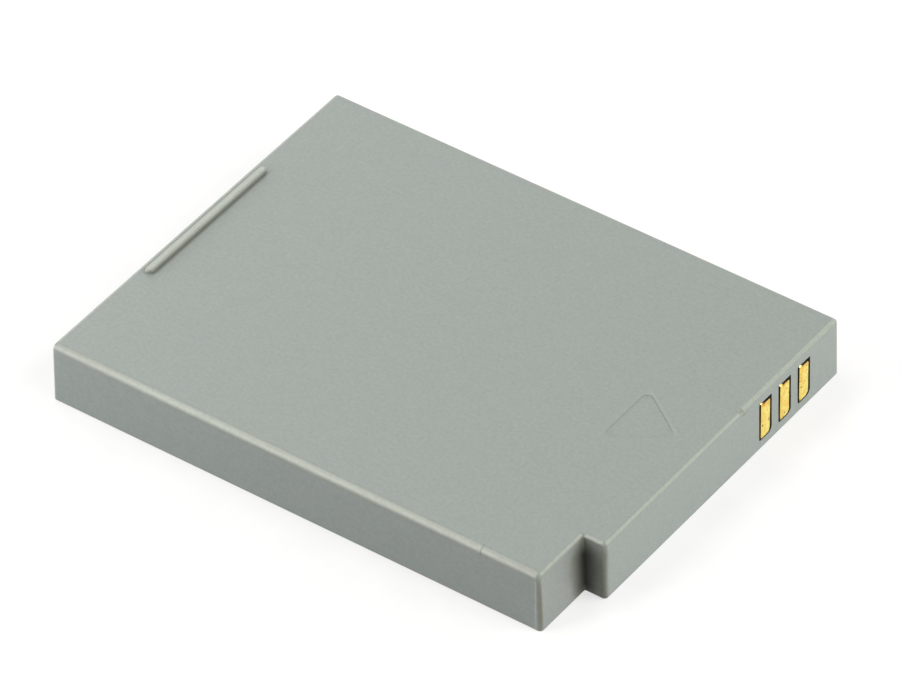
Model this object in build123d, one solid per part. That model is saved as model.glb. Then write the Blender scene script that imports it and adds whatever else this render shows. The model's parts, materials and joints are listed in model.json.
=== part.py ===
from build123d import *
import os
from math import cos, radians, sin, tan

# Slim rechargeable camera battery, in millimetres.
# +X points at the contact end, +Y runs across the case and +Z is up, out of the marked face.
# The origin is the middle of the underside, on the plane that the battery rests on.

# Case, outside
case_length = 49.4
case_width = 38.2
case_height = 5.7
side_draft = 0.7  # degrees, the side walls lean in towards the top
near_edge_radius = 0.6  # long top edge on the notch's side
edge_radius = 0.35  # other top edges and the upright corners
base_edge_radius = 0.12
notch_depth = 1.95  # key notch in one corner of the contact end, along X
notch_width = 5.85  # along Y
notch_draft = 2.6  # degrees, the lean of the wall at the back of the notch
notch_root_radius = 0.12

# Case, walls and closing plate
wall = 0.9
roof = 0.65
cover_thickness = 0.65
rim = 0.45  # edge of the tray that shows round the cover
cover_gap = 0.05
cavity_corner_radius = 0.2
cover_corner_radius = 0.4

# Nail ridge near the closed end
ridge_length = 15.7
ridge_width = 0.75
ridge_height = 0.42  # at its steep side, which faces the contacts
ridge_slope = 17  # degrees, the fall of its top towards the closed end
ridge_edge_radius = 0.12
ridge_inset = 1.05

# Sunken arrow that shows which end goes in first
arrow_base = 6.75
arrow_height = 4.95
arrow_depth = 0.03
arrow_slope = 8  # degrees, the lean of its sides
arrow_tip_inset = 2.6
arrow_shift = 0.1  # off the middle of the case, away from the notch
arrow_corner_radius = 0.55

# Contact windows in the end wall
contact_names = ("contact_negative", "contact_sense", "contact_positive")
contact_pitch = 2.7
contact_side_inset = 7.68  # from the far side of the case to the middle contact
window_width = 1.75
window_sill = 0.2  # wall left between the window and the cover
window_lintel = 0.35  # wall left between the window and the roof
window_head_radius = 0.1
window_near_foot_radius = 0.2
window_far_foot_radius = 0.55
contact_near_gap = 0.31
contact_far_gap = 0.2
contact_head_gap = 0.12  # at the near side, where the head is highest
contact_head_fall = 0.18  # towards the far side
contact_foot_gap = 0.05
contact_recess = 0.055  # from the foot of the leaning end wall, so that the contact's head is flush
contact_near_head_radius = 0.06
contact_far_head_radius = 0.25
contact_near_foot_radius = 0.15
contact_far_foot_radius = 0.45
contact_edge_radius = 0.03
contact_corner_cut = 0.1  # depth of the facet on the near corner of the head
contact_corner_facing = (0.5, -0.2, 0.8)

# Flat and nick that the mould insert leaves on the top edge above the windows
insert_margin = 2.3  # past the near window
insert_slope = 27  # degrees off the top face
insert_flat_depth = 0.035
nick_radius = 0.5
nick_depth = 0.1

# Nick across the round of the long near edge
edge_nick_place = 17.0  # X of its middle
edge_nick_width = 0.1
edge_nick_depth = 0.025

# Posts and rails under the roof, which hold the cell and the board
post_width = 1.2
post_depth = 0.8
post_foot_gap = 0.15
rail_depth = 1.15
rail_count = 3
cell_gap = 0.05
stop_inset = 2.5  # from the side of the cell to a stop's middle
stop_gap = 0.05

# Cell and its cushions
tape_thickness = 0.1
tape_length = 30.0
tape_width = 22.0
cushion_thickness = 0.5
cushion_margin = 0.5
cell_base_radius = 0.4
weld_groove_inset = 0.5
weld_groove_width = 0.25
weld_groove_depth = 0.08
gasket_width = 5.0
gasket_margin = 0.9
gasket_thickness = 0.25
terminal_width = 3.6
terminal_margin = 0.3
terminal_thickness = 0.3
insulator_thickness = 0.2
insulator_margin = 0.3
insulator_gap = 0.15

# Protection board, which stands behind the contacts
header_bay = 3.25  # room between the cell and the board
board_thickness = 0.8
board_face_gap = 0.05
board_end_gap = 0.05  # past the round of the cavity's corners
board_height_gap = 0.1
board_post_gap = 0.05

# Nickel strips and the fuse between the cell and the board
tab_thickness = 0.15
tab_width = 2.0
tab_bend_radius = 0.3
foot_length = 2.0
near_foot_inset = 1.85  # from the near end of the board
far_foot_inset = 5.9  # from the far end of the board
weld_length = 3.5
terminal_weld = 3.0
jog_length = 1.2
fuse_offset = 4.0  # from the terminal's middle to the fuse
fuse_length = 4.5
fuse_width = 2.6
fuse_thickness = 0.6

# Parts soldered on the board
chip_length = 2.9
chip_width = 1.6
chip_height = 1.0
chip_lead_pitch = 0.95
chip_lead_width = 0.4
chip_lead_reach = 0.6
chip_lead_thickness = 0.15
small_part_length = 1.6
small_part_width = 0.8
small_part_height = 0.45
small_part_cap = 0.3
small_part_cap_step = 0.03

# Planes and heights that several pieces share
closed_end = -case_length / 2
contact_end = case_length / 2
near_side = -case_width / 2
far_side = case_width / 2
notch_face = contact_end - notch_depth
notch_wall = near_side + notch_width
top_draft = case_height * tan(radians(side_draft))
roof_underside = case_height - roof
room_height = roof_underside - cover_thickness
room_middle = (roof_underside + cover_thickness) / 2
board_front = contact_end - wall - board_face_gap
board_back = board_front - board_thickness
board_near = notch_wall + wall + cavity_corner_radius + board_end_gap
board_far = far_side - wall - cavity_corner_radius - board_end_gap
cell_start = closed_end + wall + cushion_thickness
cell_end = board_back - header_bay
cell_length = cell_end - cell_start
cell_width = case_width - 2 * (wall + rail_depth + cell_gap)
cell_height = room_height - 2 * tape_thickness
window_low = cover_thickness + window_sill
window_height = room_height - window_sill - window_lintel
contact_width = window_width - contact_near_gap - contact_far_gap
contact_height = window_height - contact_head_gap - contact_foot_gap
contact_offset = (contact_near_gap - contact_far_gap) / 2
near_foot = board_near + near_foot_inset
far_foot = board_far - far_foot_inset


def window_place(index):
    """Y of a window's middle, counted from the notch side; the middle one sets the group."""
    return far_side - contact_side_inset + (index - 1) * contact_pitch


def facing_contact_end(x, y, z):
    """Sketch plane that looks along +X: its x is Y and its y is Z."""
    return Plane((x, y, z), x_dir=(0, 1, 0), z_dir=(1, 0, 0))


def block(x_from, x_to, y_from, y_to, z_from, z_to):
    """Box between two corners."""
    size = Box(x_to - x_from, y_to - y_from, z_to - z_from)
    return Pos((x_from + x_to) / 2, (y_from + y_to) / 2, (z_from + z_to) / 2) * size


def case_outline(inset, radius=0.0):
    """Plan of the case with its key notch, moved in by inset on every side."""
    points = (
        (closed_end + inset, near_side + inset),
        (notch_face - inset, near_side + inset),
        (notch_face - inset, notch_wall + inset),
        (contact_end - inset, notch_wall + inset),
        (contact_end - inset, far_side - inset),
        (closed_end + inset, far_side - inset),
    )
    plan = make_face(Polyline(*points, close=True))
    return fillet(plan.vertices(), radius) if radius else plan


def side_walls(body):
    """Side faces of the case, with the one at the back of the notch first."""
    walls = body.faces().filter_by(Axis.Z, reverse=True)
    return walls.sort_by_distance(Vector(notch_face, (near_side + notch_wall) / 2, case_height / 2))


def upright_edges(body):
    """Upright edges of the case, with the one in the root of the notch first."""
    edges = body.edges().filter_by(lambda edge: abs((edge @ 1 - edge @ 0).Z) > case_height / 2)
    return edges.sort_by_distance(Vector(notch_face, notch_wall, case_height / 2))


def top_edges(body):
    """Edges of the top face, with the long near one first."""
    return body.faces().sort_by(Axis.Z)[-1].edges().sort_by(Axis.Y)


def case_body():
    """Outer form of the case: drafted walls, a wide round on the near edge and small ones elsewhere."""
    body = extrude(case_outline(0), case_height)
    body = draft(side_walls(body)[1:], Plane.XY, side_draft)
    body = draft(side_walls(body)[0], Plane.XY, notch_draft)
    body = fillet(top_edges(body)[0], near_edge_radius)
    body = fillet(upright_edges(body)[0], notch_root_radius)
    root_sides = 2
    body = fillet(top_edges(body)[1:] + upright_edges(body)[root_sides:], edge_radius)
    return fillet(body.faces().sort_by(Axis.Z)[0].edges(), base_edge_radius)


def nail_ridge():
    """Round-ended bar with a sloping top, sunk a little so that it joins the roof."""
    plan = Rot(0, 0, 90) * SlotOverall(ridge_length, ridge_width)
    bar = extrude(plan, ridge_height + roof / 2)
    slope = radians(ridge_slope)
    crest = Plane((ridge_width / 2, 0, ridge_height + roof / 2), z_dir=(-sin(slope), 0, cos(slope)))
    bar = split(bar, crest, keep=Keep.BOTTOM)
    bar = fillet(bar.faces().sort_by(Axis.Z)[-1].edges(), ridge_edge_radius)
    return Pos(closed_end + ridge_inset, 0, case_height - roof / 2) * bar


def arrow_recess():
    """Shallow triangle with sloping sides that points at the contact end."""
    tip = contact_end - arrow_tip_inset
    tail = tip - arrow_height
    plan = make_face(
        Polyline((tail, -arrow_base / 2), (tip, 0), (tail, arrow_base / 2), close=True)
    )
    plan = fillet(plan.vertices(), arrow_corner_radius)
    return Pos(0, arrow_shift, case_height) * extrude(plan, -arrow_depth, taper=arrow_slope)


def upright_plan(width, height, head_fall, radii):
    """Plan of a window or a contact, with radii for its near foot, far foot, far head and near head."""
    corners = (
        (-width / 2, 0),
        (width / 2, 0),
        (width / 2, height - head_fall),
        (-width / 2, height),
    )
    plan = make_face(Polyline(*corners, close=True))
    for corner, radius in zip(corners, radii):
        plan = fillet(plan.vertices().sort_by_distance(corner)[0], radius)
    return plan


def contact_windows():
    """Openings through the end wall, one for each contact."""
    radii = (window_near_foot_radius, window_far_foot_radius, window_head_radius, window_head_radius)
    plan = upright_plan(window_width, window_height, 0, radii)
    start = contact_end - wall * 1.5
    return [
        facing_contact_end(start, window_place(index), window_low) * extrude(plan, wall * 2)
        for index in range(len(contact_names))
    ]


def insert_witness():
    """Slanted flat on the top edge, from before the windows to the far side, and the nick at its near end."""
    y_from = window_place(0) - window_width / 2 - insert_margin
    length = far_side + wall - y_from
    arc_middle = (contact_end - top_draft - edge_radius, y_from, case_height - edge_radius)
    slope = radians(insert_slope)
    slant = Plane(arc_middle, x_dir=(0, 1, 0), z_dir=(sin(slope), 0, cos(slope)))
    crest = slant.offset(edge_radius - insert_flat_depth)
    flat = crest * Pos(length / 2, 0, 0) * extrude(Rectangle(length, wall * 2), wall)
    groove = Rot(90, 0, 0) * Cylinder(nick_radius, wall)
    nick = slant.offset(edge_radius - nick_depth + nick_radius) * groove
    return [flat, nick]


def edge_nick():
    """Thin groove that follows the round of the long near edge."""
    reach = near_edge_radius * 1.5
    corner = Pos(-reach / 2, reach / 2) * Rectangle(reach, reach)
    corner -= Circle(near_edge_radius - edge_nick_depth)
    arc_y = near_side + top_draft + near_edge_radius
    plane = facing_contact_end(edge_nick_place - edge_nick_width / 2, arc_y, case_height - near_edge_radius)
    return plane * extrude(corner, edge_nick_width)


def under_roof(x_from, x_to, y_from, y_to):
    """Post that hangs from the roof and stops short of the cover."""
    return block(x_from, x_to, y_from, y_to, cover_thickness + post_foot_gap, case_height - roof / 2)


def cell_rails():
    """Ribs on both long walls that keep the cell in the middle."""
    step = cell_length / rail_count
    rails = []
    for index in range(rail_count):
        middle = cell_start + step * (index + 0.5)
        for side in (-1, 1):
            inner = side * (cell_width / 2 + cell_gap)
            outer = side * (case_width / 2 - wall / 2)
            rails.append(
                under_roof(middle - post_width / 2, middle + post_width / 2, *sorted((inner, outer)))
            )
    return rails


def cell_stops():
    """Posts in front of the cell's lid, one near each side."""
    x_from = cell_end + insulator_thickness + stop_gap
    stops = []
    for side in (-1, 1):
        middle = side * (cell_width / 2 - stop_inset)
        stops.append(
            under_roof(x_from, x_from + post_depth, middle - post_width / 2, middle + post_width / 2)
        )
    return stops


def board_posts():
    """Posts behind both ends of the board, which trap it against the end wall."""
    x_to = board_back - board_post_gap
    near_wall = notch_wall + wall
    far_wall = far_side - wall
    return [
        under_roof(x_to - post_depth, x_to, near_wall - wall / 2, near_wall + post_width),
        under_roof(x_to - post_depth, x_to, far_wall - post_width, far_wall + wall / 2),
    ]


def case_tray():
    """Top, side walls and inner posts, moulded as one piece."""
    cavity = extrude(case_outline(wall, cavity_corner_radius), roof_underside)
    seat = extrude(case_outline(rim, cover_corner_radius), cover_thickness)
    tray = case_body() - cavity - seat
    tray = tray + cell_rails() + cell_stops() + board_posts() + nail_ridge()
    return tray - arrow_recess() - contact_windows() - insert_witness() - edge_nick()


def base_cover():
    """Flat plate let into the underside of the tray."""
    return extrude(case_outline(rim + cover_gap, cover_corner_radius), cover_thickness)


def cell_can():
    """Drawn can with round sides; the welded lid shows as a fine groove."""
    can = facing_contact_end(cell_start, 0, room_middle) * extrude(
        SlotOverall(cell_width, cell_height), cell_length
    )
    can = fillet(can.faces().sort_by(Axis.X)[0].edges(), cell_base_radius)
    outer = 2 * weld_groove_inset
    inner = outer + 2 * weld_groove_width
    ring = SlotOverall(cell_width - outer, cell_height - outer)
    ring -= SlotOverall(cell_width - inner, cell_height - inner)
    groove_plane = facing_contact_end(cell_end - weld_groove_depth, 0, room_middle)
    return can - groove_plane * extrude(ring, weld_groove_depth * 2)


def on_lid(x_offset, shape):
    """Places a shape that is drawn flat on the cell's lid."""
    return facing_contact_end(cell_end + x_offset, 0, room_middle) * shape


def gasket_height():
    return cell_height - 2 * gasket_margin


def terminal_gasket():
    """Insulating washer under the cell's terminal."""
    return on_lid(0, extrude(Rectangle(gasket_width, gasket_height()), gasket_thickness))


def cell_terminal():
    """Terminal plate in the middle of the lid."""
    plan = Rectangle(terminal_width, gasket_height() - 2 * terminal_margin)
    return on_lid(gasket_thickness, extrude(plan, terminal_thickness))


def header_insulator():
    """Card on the lid, open round the terminal and round the welded strip."""
    margin = 2 * insulator_margin
    gap = 2 * insulator_gap
    card = SlotOverall(cell_width - margin, cell_height - margin)
    card -= Rectangle(gasket_width + gap, gasket_height() + gap)
    weld_middle = far_foot - weld_length / 2
    card -= Pos(weld_middle, 0) * Rectangle(weld_length + gap, tab_width + gap)
    return on_lid(0, extrude(card, insulator_thickness))


def end_cushion():
    """Foam strip between the closed end and the cell."""
    height = cell_height - 2 * (cell_base_radius + cushion_margin)
    width = cell_width - cell_height - 2 * cushion_margin
    plane = facing_contact_end(closed_end + wall, 0, room_middle)
    return plane * extrude(Rectangle(width, height), cushion_thickness)


def cell_tape(z_from):
    """Double-sided tape on one broad side of the cell."""
    middle = (cell_start + cell_end) / 2
    return Pos(middle, 0, z_from) * extrude(Rectangle(tape_length, tape_width), tape_thickness)


def protection_board():
    """Circuit board on edge, between the end wall and the posts."""
    low = cover_thickness + board_height_gap
    high = roof_underside - board_height_gap
    return block(board_back, board_front, board_near, board_far, low, high)


def contact(index):
    """Gold-plated block on the board, standing in its window, with one corner of its head cut off."""
    foot_radii = (contact_near_foot_radius, contact_far_foot_radius)
    head_radii = (contact_far_head_radius, contact_near_head_radius)
    plan = upright_plan(contact_width, contact_height, contact_head_fall, foot_radii + head_radii)
    face = contact_end - contact_recess
    middle = window_place(index) + contact_offset
    low = window_low + contact_foot_gap
    pad = facing_contact_end(board_front, middle, low) * extrude(plan, face - board_front)
    pad = fillet(pad.faces().sort_by(Axis.X)[-1].edges(), contact_edge_radius)
    near_head = (face, middle - contact_width / 2, low + contact_height)
    corner = Plane(near_head, z_dir=contact_corner_facing).offset(-contact_corner_cut)
    return split(pad, corner, keep=Keep.BOTTOM)


def strip(*points):
    """Nickel strip on edge, bent along a path in plan."""
    path = FilletPolyline(*points, radius=tab_bend_radius)
    low = room_middle - tab_width / 2
    return Pos(0, 0, low) * extrude(trace(path, tab_thickness), tab_width)


def positive_tab():
    """Strip from the cell's lid to the far end of the board."""
    at_lid = cell_end + tab_thickness / 2
    at_board = board_back - tab_thickness / 2
    return strip(
        (at_lid, far_foot - weld_length),
        (at_lid, far_foot),
        (at_board, far_foot),
        (at_board, far_foot + foot_length),
    )


def negative_tab():
    """Strip from the terminal, stepped down on to the insulator under the fuse."""
    at_terminal = cell_end + gasket_thickness + terminal_thickness + tab_thickness / 2
    at_card = cell_end + insulator_thickness + tab_thickness / 2
    jog_start = -gasket_width / 2 - insulator_gap
    return strip(
        (at_terminal, terminal_weld / 2),
        (at_terminal, jog_start),
        (at_card, jog_start - jog_length),
        (at_card, -fuse_offset - fuse_length),
    )


def fuse_face():
    """X of the fuse's outer face, on top of the card and the strip."""
    return cell_end + insulator_thickness + tab_thickness + fuse_thickness


def ptc_fuse():
    """Resettable fuse on the negative strip."""
    y_from = -fuse_offset - fuse_length
    half = fuse_width / 2
    x_from = fuse_face() - fuse_thickness
    return block(x_from, fuse_face(), y_from, -fuse_offset, room_middle - half, room_middle + half)


def fuse_lead():
    """Strip from the fuse to the near end of the board."""
    at_fuse = fuse_face() + tab_thickness / 2
    at_board = board_back - tab_thickness / 2
    return strip(
        (at_fuse, -fuse_offset),
        (at_fuse, near_foot),
        (at_board, near_foot),
        (at_board, near_foot + foot_length),
    )


def on_board(y, shape):
    """Places a shape that is drawn flat on the back of the board."""
    return Plane((board_back, y, room_middle), x_dir=(0, 1, 0), z_dir=(-1, 0, 0)) * shape


def chip():
    """Six-lead package: moulded body and bent leads in one solid."""
    body = extrude(Rectangle(chip_length, chip_width), chip_height)
    body = chamfer(body.faces().sort_by(Axis.Z)[-1].edges(), chip_lead_thickness)
    knee = chip_width / 2 + chip_lead_reach / 2
    for column in (-1, 0, 1):
        for side in (-1, 1):
            x_from = column * chip_lead_pitch - chip_lead_width / 2
            x_to = x_from + chip_lead_width
            high = chip_height / 2
            shoulder = sorted((side * (chip_width / 2 - chip_lead_thickness), side * knee))
            foot = sorted((side * (knee - chip_lead_thickness), side * (knee + chip_lead_reach / 2)))
            shin = sorted((side * (knee - chip_lead_thickness), side * knee))
            body += block(x_from, x_to, *shoulder, high - chip_lead_thickness, high)
            body += block(x_from, x_to, *shin, 0, high)
            body += block(x_from, x_to, *foot, 0, chip_lead_thickness)
    return body


def small_part():
    """Two-ended resistor, capacitor or thermistor with its end caps."""
    half = small_part_length / 2
    core = extrude(Rectangle(small_part_width, small_part_length), small_part_height)
    cap_width = small_part_width + 2 * small_part_cap_step
    cap = extrude(Rectangle(cap_width, small_part_cap), small_part_height + small_part_cap_step)
    for side in (-1, 1):
        core += Pos(0, side * (half - small_part_cap / 2), 0) * cap
    return core


def board_parts():
    """Parts spread evenly along the board between the two strips' feet."""
    order = (
        ("bypass_capacitor", small_part, small_part_width),
        ("protection_chip", chip, chip_length),
        ("supply_resistor", small_part, small_part_width),
        ("sense_resistor", small_part, small_part_width),
        ("switch_chip", chip, chip_length),
        ("thermistor", small_part, small_part_width),
        ("identity_resistor", small_part, small_part_width),
    )
    start = near_foot + foot_length
    room = far_foot - start - sum(width for _, _, width in order)
    space = room / (len(order) + 1)
    parts = {}
    y = start
    for name, make, width in order:
        y += space + width / 2
        parts[name] = on_board(y, make())
        y += width / 2
    return parts


def battery():
    """Every piece of the battery by name."""
    pieces = {
        "case_tray": case_tray(),
        "base_cover": base_cover(),
        "cell_can": cell_can(),
        "terminal_gasket": terminal_gasket(),
        "cell_terminal": cell_terminal(),
        "header_insulator": header_insulator(),
        "end_cushion": end_cushion(),
        "roof_tape": cell_tape(roof_underside - tape_thickness),
        "base_tape": cell_tape(cover_thickness),
        "protection_board": protection_board(),
        "positive_tab": positive_tab(),
        "negative_tab": negative_tab(),
        "ptc_fuse": ptc_fuse(),
        "fuse_lead": fuse_lead(),
    }
    for index, name in enumerate(contact_names):
        pieces[name] = contact(index)
    pieces.update(board_parts())
    return pieces


os.makedirs("parts", exist_ok=True)
for node, shape in battery().items():
    export_step(shape, f"parts/{node}.step")
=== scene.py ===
import json
from math import cos, radians, sin

import bpy
from mathutils import Matrix, Vector

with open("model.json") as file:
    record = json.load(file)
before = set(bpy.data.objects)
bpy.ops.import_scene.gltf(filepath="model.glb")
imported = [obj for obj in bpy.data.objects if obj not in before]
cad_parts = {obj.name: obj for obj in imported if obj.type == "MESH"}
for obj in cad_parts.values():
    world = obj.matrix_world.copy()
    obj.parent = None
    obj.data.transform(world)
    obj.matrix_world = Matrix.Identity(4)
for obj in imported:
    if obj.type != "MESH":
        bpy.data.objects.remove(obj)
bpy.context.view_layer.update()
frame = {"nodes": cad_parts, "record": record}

MM = 0.001
WHITE = (1.0, 1.0, 1.0)

# Directions of the part's frame, and those that its two top edges with painted highlights look in
TO_CONTACTS = (1.0, 0.0, 0.0)
ACROSS = (0.0, 1.0, 0.0)
UP = (0.0, 0.0, 1.0)
NEAR_EDGE = (0.0, -1.0, 1.0)
END_EDGE = (1.0, 0.0, 1.25)

# Camera, as fitted to the photograph's outline of the case
CAMERA_AZIMUTH = 36.46  # degrees round from the long near side
CAMERA_ELEVATION = 41.56
CAMERA_ROLL = -1.10
CAMERA_DISTANCE = 657.5  # mm from the origin
CAMERA_LENS = 331.0  # mm on a 36 mm sensor
CAMERA_CLIP_START = 10.0  # mm
CAMERA_AIM_RIGHT = 0.30  # mm from the origin, across the picture
CAMERA_AIM_UP = 2.83

# Softboxes, in metres and watts: direction, distance, direction of the long side, length, width, power
WARM_SOFTBOXES = {
    "left_strip": ((-0.50, -0.31, 0.81), 0.5, (0.0, -0.84, -0.54), 0.58, 0.25, 1.57),
    "front_strip": ((-0.45, -0.845, 0.29), 0.5, (0.0, -0.4, -0.9), 0.44, 0.16, 1.16),
    "right_box": ((0.85, 0.20, 0.48), 0.5, ACROSS, 0.6, 0.6, 4.2),
    "rear_box": ((0.52, 0.83, 0.18), 0.5, UP, 0.45, 0.5, 1.85),
    "back_box": ((-0.74, 0.60, 0.30), 0.5, UP, 0.3, 0.3, 0.66),
}
WHITE_SOFTBOXES = {
    "corner_box": ((0.49, 0.23, 0.84), 0.5, ACROSS, 0.06, 0.06, 0.1),
    "side_box": ((-0.88, -0.45, 0.12), 0.12, UP, 0.05, 0.03, 0.085),
}
WARM = (1.0, 0.98, 0.94)
NOT_MIRRORED = ("right_box", "rear_box")  # they light the object, but don't show in its sheen

# Floor and world
FLOOR_HALF = 1.5  # m
FLOOR_GAP = 0.01  # mm, so that the floor and the underside don't share a plane
FLOOR_GREYS = ((0.3, (0.30, 0.30, 0.30)), (0.7, (0.32, 0.32, 0.32)))
FLOOR_LIFT = 0.6  # glow of the floor where it is seen, which makes it white
WORLD_FILL = 0.12  # strength of the world as a light

# Darkening, in mm: the middle and half size of a box, how far the darkening spreads from it, and its
# darkest factor; mostly painted shade, and a few real specks of dirt
UPRIGHT_DARKENING = {
    # painted shade in the notch's inner corner and on its nose wall; notch_back makes the whole setback
    # darker
    "notch_root": ((22.65, -13.25, 2.3), (0.0, 0.0, 1.4), 1.9, 0.1),
    "notch_nose": ((24.55, -13.2, 2.4), (0.0, 0.0, 2.2), 0.6, 0.7),
    "notch_back": ((22.65, -16.2, 2.85), (0.25, 2.75, 2.9), 0.2, 0.93),
}
WINDOW_SHADE = {
    # painted shade on the walls of the contact windows
    "windows": ((24.25, 11.42, 2.78), (0.44, 3.6, 1.95), 0.02, 0.28),
}
OTHER_SHADE_AND_DIRT = {
    # painted shade: the dark band down the notch's upright corner, the shadow beside the ridge's foot, the
    # dark mark at the end nick and its dimmed lip
    "notch_corner": ((22.58, -18.9, 2.6), (0.0, 0.0, 2.2), 0.28, 0.68),
    "ridge_foot": ((-23.27, 0.0, 5.75), (0.0, 7.5, 0.0), 0.35, 0.68),
    "end_nick": ((24.62, 5.75, 5.25), (0.1, 0.2, 0.02), 0.15, 0.72),
    "end_nick_lip": ((24.38, 5.52, 5.6), (0.05, 0.08, 0.05), 0.25, 0.75),
    # real specks of dirt on the top
    "first_speck": ((23.43, 12.74, 5.7), (0.04, 0.04, 0.0), 0.1, 0.88),
    "second_speck": ((22.38, 15.79, 5.7), (0.04, 0.04, 0.0), 0.1, 0.88),
    "third_speck": ((-17.94, -16.93, 5.7), (0.04, 0.04, 0.0), 0.1, 0.88),
}

# Painted highlights: a pale line beside the notch's upright corner, the brighter end edge, and the near
# edge, brighter in its middle and darker towards its ends
CORNER_LINE = ((22.2, -19.06, 2.6), (0.0, 0.0, 2.4))  # mm, middle and half size
CORNER_LINE_REACH = 0.13  # mm
CORNER_LINE_FACTOR = 1.4
END_EDGE_FACTOR = 1.19
NEAR_HIGHLIGHT_FROM = (-23.0, -14.0)  # mm, X where the painted highlight on the near edge fades in
NEAR_HIGHLIGHT_TO = (18.0, 20.5)  # mm, X where it fades out
NEAR_HIGHLIGHT_FACTORS = (0.95, 1.1)  # before the painted highlight, and on it
NEAR_HIGHLIGHT_END_FACTOR = 0.9  # past it, painted darker against the highlight
NEAR_EDGE_POLISH = 0.65  # roughness of the near edge, as a share of the rest's

# Outline of the sunken arrow, in mm, and bands of painted shade and highlight along it: middle and reach
# in mm outward, and a factor
ARROW_TIP = (22.1, 0.1)
ARROW_LENGTH = 4.95
ARROW_HALF_BASE = 3.375
ARROW_CORNER_BLEND = 1.6
ARROW_FOOT = (-0.05, 0.35, 0.96)
ARROW_LIP = (0.17, 0.22, 1.035)
ARROW_FAR_LIP = (0.14, 0.16, 1.08)  # on the side away from the notch only
ARROW_FAR_FADE = (0.1, 0.4)  # mm between the outline and that side's line, over which its lip fades

# Contacts, in mm: the Y of the first one's middle, the step to the next, and half their width
CONTACT_PLACE = 8.775
CONTACT_PITCH = 2.7
CONTACT_HALF_WIDTH = 0.62
BLOTCH_HEIGHTS = (3.8, 4.4)  # Z between which the blotches set in, towards the head
RIM_HEIGHTS = (4.27, 4.37)  # Z between which the head's painted shadow sets in
RIM_FROM = (-0.5, -0.3)  # from the contact's middle, so that the painted shadow is clear of the bright corner
BLOTCH_STRENGTH = 0.85  # strength of the blotches
NEAR_SIDE_STRENGTH = 0.2  # strength of the trace at the near side

# Colours of the case and the contacts, as ramps of (position, colour)
CASE_SPECKLE = ((0.3, (0.181, 0.205, 0.193)), (0.7, (0.215, 0.244, 0.230)))
# warm tint that goes with the painted shade and dirt; on the window walls it is a painted reflection of
# the gold
CASE_SHADE_TINT = ((0.0, (1.0, 0.92, 0.82)), (0.7, (1.0, 0.95, 0.88)), (1.0, WHITE))
# warmer tint on the rounds between the faces
CASE_EDGE_TINT = ((0.0, WHITE), (1.0, (0.99, 0.98, 0.91)))
GOLD_PATCHES = ((0.32, (0.97, 0.60, 0.09)), (0.55, (1.0, 0.84, 0.21)))
GOLD_PITS = ((0.0, (0.25, 0.13, 0.05)), (1.0, WHITE))
# darker, browner gold for the blotches and the trace, down to the painted shadow under the head
GOLD_DARKENING_COLOURS = (
    (0.0, WHITE),
    (0.6, (0.82, 0.58, 0.28)),
    (0.86, (0.62, 0.40, 0.18)),
    (1.0, (0.10, 0.05, 0.02)),
)
BARE_SIDE_SHADE = 0.06  # factor on the sides of a contact, which have no gold and are darkened further as painted shade in the gaps round it
CLOUD_FACTORS = (0.985, 1.015)  # faint clouds in the plastic

# Sizes and depths of the marks in the finishes, in mm
SPECKLE_SIZE = 0.3
CLOUD_SIZE = 1.2
GRAIN_SIZE = 0.16
GRAIN_DEPTH = 0.004
PATCH_SIZE = 0.5
BLOTCH_SIZE = 0.3
PIT_SPACING = 0.55
PIT_DEPTH = 0.015
DENT_SIZE = 0.25
DENT_DEPTH = 0.02
PLAIN_DEPTH = 0.01
MOTTLE_SIZE = 4.0

# Roughness
CASE_ROUGHNESS = (0.36, 0.44)
GOLD_ROUGHNESS = (0.18, 0.34)
CORNER_POLISH = 0.12  # roughness of a contact's bright corner, as a share of its face's
BARE_ROUGHNESS = 0.9  # of a contact's bare sides
PLAIN_SPREAD = 0.05  # to either side of a hidden piece's roughness
FLOOR_ROUGHNESS = 0.9

# Hidden pieces: dark and light colour, size of the patches in mm, roughness, and 1 for metal
PLAIN_FINISHES = {
    "cell_aluminium": ((0.68, 0.68, 0.69), (0.76, 0.76, 0.77), 2.0, 0.35, 1.0),
    "nickel": ((0.58, 0.55, 0.5), (0.66, 0.63, 0.58), 0.6, 0.3, 1.0),
    "seal_plastic": ((0.1, 0.1, 0.11), (0.14, 0.14, 0.15), 0.5, 0.5, 0.0),
    "insulating_card": ((0.28, 0.38, 0.32), (0.36, 0.46, 0.4), 0.4, 0.8, 0.0),
    "foam": ((0.02, 0.02, 0.022), (0.04, 0.04, 0.042), 0.25, 0.9, 0.0),
    "tape": ((0.7, 0.69, 0.65), (0.8, 0.79, 0.75), 1.0, 0.35, 0.0),
    "board_laminate": ((0.02, 0.13, 0.06), (0.04, 0.19, 0.08), 0.6, 0.4, 0.0),
    "fuse_body": ((0.5, 0.38, 0.08), (0.6, 0.46, 0.12), 0.5, 0.35, 0.0),
    "chip_black": ((0.015, 0.015, 0.016), (0.025, 0.025, 0.027), 0.2, 0.55, 0.0),
    "resistor_black": ((0.04, 0.04, 0.045), (0.06, 0.06, 0.065), 0.2, 0.4, 0.0),
    "capacitor_tan": ((0.38, 0.27, 0.16), (0.46, 0.33, 0.2), 0.2, 0.45, 0.0),
}


def node_input(node, name, value):
    """Sets a socket of a shader node."""
    node.inputs[name].default_value = value


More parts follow.
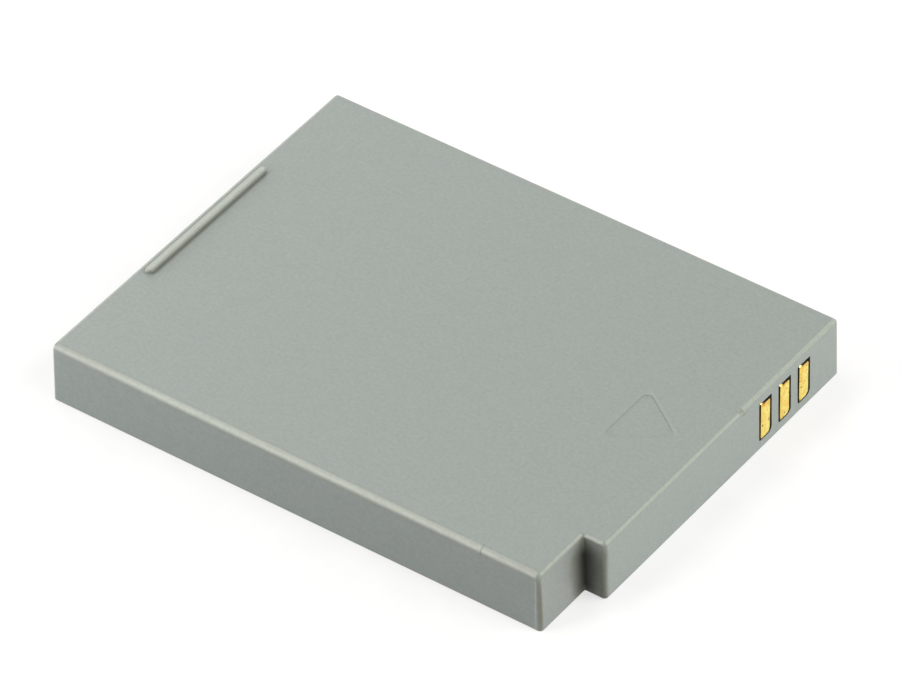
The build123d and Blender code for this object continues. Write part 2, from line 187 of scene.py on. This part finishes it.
class Shader:
    """A node material with short calls for the nodes that the finishes share."""

    def __init__(self, name):
        self.material = bpy.data.materials.new(name)
        self.material.use_nodes = True
        self.nodes = self.material.node_tree.nodes
        self.links = self.material.node_tree.links
        self.surface = self.nodes["Principled BSDF"]
        coordinates = self.nodes.new("ShaderNodeTexCoord")
        self.place = coordinates.outputs["Object"]
        self.facing = coordinates.outputs["Normal"]

    def link(self, output, node, name):
        """Links an output to a socket of a node."""
        self.links.new(output, node.inputs[name])

    def feed(self, socket, value):
        """Links a varying value to a socket, or sets a constant one."""
        if isinstance(value, bpy.types.NodeSocket):
            self.links.new(value, socket)
        else:
            socket.default_value = value

    def noise(self, size_mm, detail=2.0, roughness=0.5):
        """Noise with features of about that size."""
        node = self.nodes.new("ShaderNodeTexNoise")
        node_input(node, "Scale", 1.0 / (size_mm * MM))
        node_input(node, "Detail", detail)
        node_input(node, "Roughness", roughness)
        self.link(self.place, node, "Vector")
        return node.outputs["Fac"]

    def spots(self, spacing_mm):
        """Distance to the nearest of many scattered points, as a share of their spacing."""
        node = self.nodes.new("ShaderNodeTexVoronoi")
        node_input(node, "Scale", 1.0 / (spacing_mm * MM))
        self.link(self.place, node, "Vector")
        return node.outputs["Distance"]

    def math(self, operation, *values):
        """Operation on varying or constant values."""
        node = self.nodes.new("ShaderNodeMath")
        node.operation = operation
        for socket, value in zip(node.inputs, values):
            self.feed(socket, value)
        return node.outputs["Value"]

    def vector_math(self, operation, *vectors):
        """Operation on varying or constant vectors."""
        node = self.nodes.new("ShaderNodeVectorMath")
        node.operation = operation
        for socket, vector in zip(node.inputs, vectors):
            self.feed(socket, vector)
        gives_number = operation in ("LENGTH", "DOT_PRODUCT")
        return node.outputs["Value" if gives_number else "Vector"]

    def remap(self, value, low, high, start=0.3, end=0.7):
        """Takes start..end of a value to low..high."""
        node = self.nodes.new("ShaderNodeMapRange")
        node_input(node, "From Min", start)
        node_input(node, "From Max", end)
        node_input(node, "To Min", low)
        node_input(node, "To Max", high)
        self.link(value, node, "Value")
        return node.outputs["Result"]

    def fade(self, distance, low, high, span_mm):
        """Takes a distance over a span in mm to low..high."""
        start_mm, end_mm = span_mm
        return self.remap(distance, low, high, start_mm * MM, end_mm * MM)

    def only_where(self, mask, factor):
        """The factor where the mask is 1, and 1 where it is 0."""
        node = self.nodes.new("ShaderNodeMapRange")
        node_input(node, "To Min", 1.0)
        self.link(mask, node, "Value")
        self.link(factor, node, "To Max")
        return node.outputs["Result"]

    def along(self, direction):
        """Distance in metres from the origin along a direction."""
        return self.vector_math("DOT_PRODUCT", self.place, direction)

    def past_line(self, point_mm, outward):
        """Distance in metres past a line through a point, counted outward."""
        offset = self.vector_math("SUBTRACT", self.place, Vector(point_mm) * MM)
        return self.vector_math("DOT_PRODUCT", offset, Vector(outward).normalized())

    def from_box(self, middle_mm, half_mm):
        """Distance in metres from a box, 0 inside it."""
        offset = self.vector_math("SUBTRACT", self.place, Vector(middle_mm) * MM)
        past = self.vector_math("SUBTRACT", self.vector_math("ABSOLUTE", offset), Vector(half_mm) * MM)
        return self.vector_math("LENGTH", self.vector_math("MAXIMUM", past, (0.0, 0.0, 0.0)))

    def band(self, distance, middle_mm, reach_mm, factor):
        """The factor where a distance is at the middle of a band, and 1 past its reach."""
        off = self.math("ABSOLUTE", self.math("SUBTRACT", distance, middle_mm * MM))
        return self.fade(off, factor, 1.0, (0.0, reach_mm))

    def toward(self, direction):
        """1 where the surface looks in a direction, 0 where it looks square to it."""
        return self.vector_math("DOT_PRODUCT", self.facing, Vector(direction).normalized())

    def colours(self, value, *stops):
        """Colour ramp over a value: stops are (position, colour), in rising order."""
        node = self.nodes.new("ShaderNodeValToRGB")
        elements = node.color_ramp.elements
        while len(elements) < len(stops):
            elements.new(0.5)
        for element, (position, colour) in zip(elements, stops):
            element.position = position
            element.color = (*colour, 1.0)
        self.link(value, node, "Fac")
        return node.outputs["Color"]

    def shade(self, colour, factor):
        """Colour multiplied by a factor."""
        node = self.nodes.new("ShaderNodeVectorMath")
        node.operation = "SCALE"
        self.link(colour, node, "Vector")
        self.link(factor, node, "Scale")
        return node.outputs["Vector"]

    def tint(self, colour, other):
        """Colour multiplied by another."""
        return self.vector_math("MULTIPLY", colour, other)

    def bump(self, height, depth_mm, under=None):
        """Bump of that depth for a height of 0 to 1, on top of another if one is given."""
        node = self.nodes.new("ShaderNodeBump")
        node_input(node, "Strength", 1.0)
        node_input(node, "Distance", depth_mm * MM)
        self.link(height, node, "Height")
        if under is not None:
            self.link(under, node, "Normal")
        return node.outputs["Normal"]

    def finish(self, colour=None, roughness=None, normal=None, **constants):
        """Links the varying inputs and sets the constant ones on the surface shader."""
        for name, output in (("Base Color", colour), ("Roughness", roughness), ("Normal", normal)):
            if output is not None:
                self.link(output, self.surface, name)
        for name, value in constants.items():
            node_input(self.surface, name.replace("_", " "), value)
        return self.material


def darkening_at(shader, places):
    """Darkening at all the places of a table, as a factor."""
    factor = 1.0
    for middle, half_size, reach, darkest in places.values():
        here = shader.fade(shader.from_box(middle, half_size), darkest, 1.0, (0.0, reach))
        factor = shader.math("MULTIPLY", here, factor)
    return factor


def case_shade_and_dirt(shader):
    """All the painted shade and the dirt on the case, as a factor."""
    upright = shader.remap(shader.toward(UP), 1.0, 0.0, 0.2, 0.8)
    sideways = shader.remap(shader.toward(TO_CONTACTS), 1.0, 0.0, 0.3, 0.6)
    notch = shader.only_where(upright, darkening_at(shader, UPRIGHT_DARKENING))
    windows = shader.only_where(sideways, darkening_at(shader, WINDOW_SHADE))
    walls = shader.math("MULTIPLY", notch, windows)
    return shader.math("MULTIPLY", walls, darkening_at(shader, OTHER_SHADE_AND_DIRT))


def arrow_shade_and_highlight(shader):
    """Painted shade along the foot of the sunken arrow and a painted highlight along its lip, as a factor;
    the highlight is strongest on its far side.
    """
    tip = Vector((*ARROW_TIP, 0.0))
    tail = tip - Vector((ARROW_LENGTH, 0.0, 0.0))
    past_tail = shader.past_line(tail, (-1.0, 0.0, 0.0))
    past_far = shader.past_line(tip, (ARROW_HALF_BASE, ARROW_LENGTH, 0.0))
    past_near = shader.past_line(tip, (ARROW_HALF_BASE, -ARROW_LENGTH, 0.0))
    past = shader.math("SMOOTH_MAX", past_tail, past_far, ARROW_CORNER_BLEND * MM)
    past = shader.math("SMOOTH_MAX", past, past_near, ARROW_CORNER_BLEND * MM)
    foot = shader.band(past, *ARROW_FOOT)
    lip = shader.band(past, *ARROW_LIP)
    far_side = shader.fade(shader.math("SUBTRACT", past, past_far), 1.0, 0.0, ARROW_FAR_FADE)
    far_lip = shader.only_where(far_side, shader.band(past, *ARROW_FAR_LIP))
    lip = shader.math("MULTIPLY", lip, far_lip)
    on_top = shader.remap(shader.toward(UP), 0.0, 1.0, 0.5, 0.9)
    return shader.only_where(on_top, shader.math("MULTIPLY", foot, lip))


def edge_rounds(shader):
    """1 on the rounds between the faces, 0 on the faces, which look along the axes."""
    slant = shader.vector_math("ABSOLUTE", shader.facing)
    slant = shader.vector_math("DOT_PRODUCT", slant, (1.0, 1.0, 1.0))
    return shader.remap(slant, 0.0, 1.0, 1.06, 1.24)


def painted_edge_highlights(shader, near_edge):
    """Painted highlights on the near edge, the end edge and a line at the notch's upright corner, as a
    factor.
    """
    along = shader.along(TO_CONTACTS)
    begins = shader.fade(along, *NEAR_HIGHLIGHT_FACTORS, NEAR_HIGHLIGHT_FROM)
    ends = shader.fade(along, 1.0, NEAR_HIGHLIGHT_END_FACTOR, NEAR_HIGHLIGHT_TO)
    near_highlight = shader.only_where(near_edge, shader.math("MULTIPLY", begins, ends))
    end_edge = shader.remap(shader.toward(END_EDGE), 1.0, END_EDGE_FACTOR, 0.90, 0.97)
    line = shader.fade(shader.from_box(*CORNER_LINE), CORNER_LINE_FACTOR, 1.0, (0.0, CORNER_LINE_REACH))
    return shader.math("MULTIPLY", shader.math("MULTIPLY", near_highlight, end_edge), line)


def case_plastic():
    """Pale grey-green moulding with a fine spark-eroded grain, warmer edge rounds, painted shade in its
    hollows and painted highlights on its top edges.
    """
    shader = Shader("case_plastic")
    speckle = shader.noise(SPECKLE_SIZE, detail=4.0, roughness=0.7)
    colour = shader.colours(speckle, *CASE_SPECKLE)
    colour = shader.shade(colour, shader.remap(shader.noise(CLOUD_SIZE), *CLOUD_FACTORS))
    shade_and_dirt = case_shade_and_dirt(shader)
    # painted shade in the notch, the windows and beside the ridge, with the real specks of dirt
    colour = shader.shade(colour, shade_and_dirt)
    colour = shader.tint(colour, shader.colours(shade_and_dirt, *CASE_SHADE_TINT))
    # painted shade and highlight round the arrow
    colour = shader.shade(colour, arrow_shade_and_highlight(shader))
    colour = shader.tint(colour, shader.colours(edge_rounds(shader), *CASE_EDGE_TINT))
    near_edge = shader.remap(shader.toward(NEAR_EDGE), 0.0, 1.0, 0.8, 0.95)
    # painted highlights along the top edges
    colour = shader.shade(colour, painted_edge_highlights(shader, near_edge))
    grain = shader.noise(GRAIN_SIZE, detail=3.0, roughness=0.6)
    polish = shader.remap(near_edge, 1.0, NEAR_EDGE_POLISH, 0.0, 1.0)
    roughness = shader.math("MULTIPLY", shader.remap(grain, *CASE_ROUGHNESS), polish)
    roughness = shader.math("MAXIMUM", roughness, shader.remap(shade_and_dirt, 1.0, 0.3, 0.2, 0.9))
    normal = shader.bump(grain, GRAIN_DEPTH)
    return shader.finish(colour, roughness, normal, IOR=1.6)


def gold_darkening(shader):
    """Darkening of a contact, 0 to 1: blotches near its head, a darker trace at its near side and a
    painted shadow along its head.
    """
    height = shader.along(UP)
    head = shader.fade(height, 0.0, 1.0, BLOTCH_HEIGHTS)
    blotches = shader.remap(shader.noise(BLOTCH_SIZE, detail=3.0), 0.0, BLOTCH_STRENGTH, 0.42, 0.58)
    across = shader.math("SUBTRACT", shader.along(ACROSS), CONTACT_PLACE * MM)
    across = shader.math("WRAP", across, CONTACT_PITCH / 2 * MM, -CONTACT_PITCH / 2 * MM)
    near_side = shader.fade(across, NEAR_SIDE_STRENGTH, 0.0, (-CONTACT_HALF_WIDTH, 0.0))
    darkened = shader.math("MAXIMUM", shader.math("MULTIPLY", head, blotches), near_side)
    flat = shader.remap(shader.toward(TO_CONTACTS), 0.0, 1.0, 0.7, 0.95)
    darkened = shader.math("MULTIPLY", flat, darkened)
    # painted shadow along the head, under the window's lintel
    rim = shader.fade(height, 0.0, 1.0, RIM_HEIGHTS)
    rim = shader.math("MULTIPLY", rim, shader.fade(across, 0.0, 1.0, RIM_FROM))
    return shader.math("MAXIMUM", darkened, rim)


def contact_gold():
    """Gold plate with a pitted, blotched face, a painted shadow under its head and a bright corner; the
    block's sides are bare and dark.
    """
    shader = Shader("contact_gold")
    patches = shader.noise(PATCH_SIZE, detail=3.0)
    colour = shader.colours(patches, *GOLD_PATCHES)
    pits = shader.remap(shader.spots(PIT_SPACING), 0.0, 1.0, 0.1, 0.26)
    colour = shader.tint(colour, shader.colours(pits, *GOLD_PITS))
    # darker blotches and trace, and the painted shadow under the head
    colour = shader.tint(colour, shader.colours(gold_darkening(shader), *GOLD_DARKENING_COLOURS))
    end_face = shader.toward(TO_CONTACTS)
    plated = shader.remap(end_face, 0.0, 1.0, 0.1, 0.4)
    # bare sides, darkened as painted shade in the gaps round the contact
    colour = shader.shade(colour, shader.remap(plated, BARE_SIDE_SHADE, 1.0, 0.0, 1.0))
    dents = shader.noise(DENT_SIZE)
    corner = shader.remap(end_face, CORNER_POLISH, 1.0, 0.7, 0.9)
    roughness = shader.math("MULTIPLY", shader.remap(patches, *GOLD_ROUGHNESS), corner)
    roughness = shader.math("MAXIMUM", roughness, shader.remap(plated, BARE_ROUGHNESS, 0.0, 0.0, 0.5))
    normal = shader.bump(pits, PIT_DEPTH, shader.bump(dents, DENT_DEPTH))
    shader.link(plated, shader.surface, "Metallic")
    return shader.finish(colour, roughness, normal)


def plain_finish(name, dark, light, size_mm, roughness, metallic):
    """Finish of a hidden piece: two close colours mixed by noise, with a slight grain."""
    shader = Shader(name)
    patches = shader.noise(size_mm, detail=3.0)
    colour = shader.colours(patches, (0.3, dark), (0.7, light))
    varied = shader.remap(patches, roughness - PLAIN_SPREAD, roughness + PLAIN_SPREAD)
    normal = shader.bump(patches, PLAIN_DEPTH)
    return shader.finish(colour, varied, normal, Metallic=metallic)


def dress_nodes():
    """Gives each node the finish of its material slot."""
    finishes = {"case_plastic": case_plastic(), "contact_gold": contact_gold()}
    for name, look in PLAIN_FINISHES.items():
        finishes[name] = plain_finish(name, *look)
    for part in frame["record"]["subparts"]:
        data = frame["nodes"][part["node"]].data
        data.materials.clear()
        data.materials.append(finishes[part["material_slot"]])


def view_axes():
    """Right, up and back directions of the camera before its aim is applied."""
    azimuth = radians(CAMERA_AZIMUTH)
    elevation = radians(CAMERA_ELEVATION)
    roll = radians(CAMERA_ROLL)
    level = Vector((cos(azimuth), sin(azimuth), 0.0))
    back = Vector((sin(azimuth) * cos(elevation), -cos(azimuth) * cos(elevation), sin(elevation)))
    upright = back.cross(level)
    right = cos(roll) * level + sin(roll) * upright
    up = cos(roll) * upright - sin(roll) * level
    return right, up, back


def add_camera():
    """Long-lens camera at the photograph's angle."""
    right, up, back = view_axes()
    place = back * CAMERA_DISTANCE * MM
    aim = (right * CAMERA_AIM_RIGHT + up * CAMERA_AIM_UP) * MM
    away = (place - aim).normalized()
    across = up.cross(away).normalized()
    upward = away.cross(across)
    data = bpy.data.cameras.new("camera")
    data.lens = CAMERA_LENS
    data.clip_start = CAMERA_CLIP_START * MM
    camera = bpy.data.objects.new("camera", data)
    turn = Matrix((across, upward, away)).transposed().to_4x4()
    camera.matrix_world = Matrix.Translation(place) @ turn
    bpy.context.scene.collection.objects.link(camera)
    bpy.context.scene.camera = camera


def add_softbox(name, colour, direction, distance, along, length, width, power):
    """Oblong area light that faces the object, with its long side as near to a direction as can be."""
    data = bpy.data.lights.new(name, "AREA")
    data.shape = "RECTANGLE"
    data.size = length
    data.size_y = width
    data.energy = power
    data.color = colour
    light = bpy.data.objects.new(name, data)
    light.visible_glossy = name not in NOT_MIRRORED
    toward = Vector(direction).normalized()
    long_side = Vector(along)
    long_side = (long_side - long_side.dot(toward) * toward).normalized()
    turn = Matrix((long_side, toward.cross(long_side), toward)).transposed().to_4x4()
    light.matrix_world = Matrix.Translation(toward * distance) @ turn
    bpy.context.scene.collection.objects.link(light)


def add_lights():
    """Strips on the left, boxes on the right and behind, and small ones for corners and the near side."""
    for colour, softboxes in ((WARM, WARM_SOFTBOXES), (WHITE, WHITE_SOFTBOXES)):
        for name, softbox in softboxes.items():
            add_softbox(name, colour, *softbox)


def seen_rays(tree):
    """1 for what is seen directly, in a reflection or through glass, and 0 for what only lights things."""
    path = tree.nodes.new("ShaderNodeLightPath")
    seen = path.outputs["Is Camera Ray"]
    for name in ("Is Glossy Ray", "Is Transmission Ray"):
        either = tree.nodes.new("ShaderNodeMath")
        either.operation = "MAXIMUM"
        tree.links.new(seen, either.inputs[0])
        tree.links.new(path.outputs[name], either.inputs[1])
        seen = either.outputs["Value"]
    return seen


def add_world():
    """White where it is seen, faint to light the object."""
    world = bpy.data.worlds.new("studio")
    bpy.context.scene.world = world
    world.use_nodes = True
    tree = world.node_tree
    strength = tree.nodes.new("ShaderNodeMapRange")
    node_input(strength, "To Min", WORLD_FILL)
    node_input(strength, "To Max", 1.0)
    tree.links.new(seen_rays(tree), strength.inputs["Value"])
    background = tree.nodes["Background"]
    node_input(background, "Color", (*WHITE, 1.0))
    tree.links.new(strength.outputs["Result"], background.inputs["Strength"])


def add_floor():
    """Pale floor just under the battery, lifted to white where no shadow falls."""
    half = FLOOR_HALF
    low = -FLOOR_GAP * MM
    mesh = bpy.data.meshes.new("floor")
    corners = [(-half, -half, low), (half, -half, low), (half, half, low), (-half, half, low)]
    mesh.from_pydata(corners, [], [(0, 1, 2, 3)])
    floor = bpy.data.objects.new("floor", mesh)
    bpy.context.scene.collection.objects.link(floor)
    shader = Shader("floor_paper")
    colour = shader.colours(shader.noise(MOTTLE_SIZE), *FLOOR_GREYS)
    lift = shader.remap(seen_rays(shader.material.node_tree), 0.0, FLOOR_LIFT, 0.0, 1.0)
    shader.link(lift, shader.surface, "Emission Strength")
    paper = shader.finish(colour, Emission_Color=(*WHITE, 1.0), Roughness=FLOOR_ROUGHNESS)
    mesh.materials.append(paper)


dress_nodes()
add_camera()
add_lights()
add_world()
add_floor()
bpy.context.scene.view_settings.view_transform = "Standard"
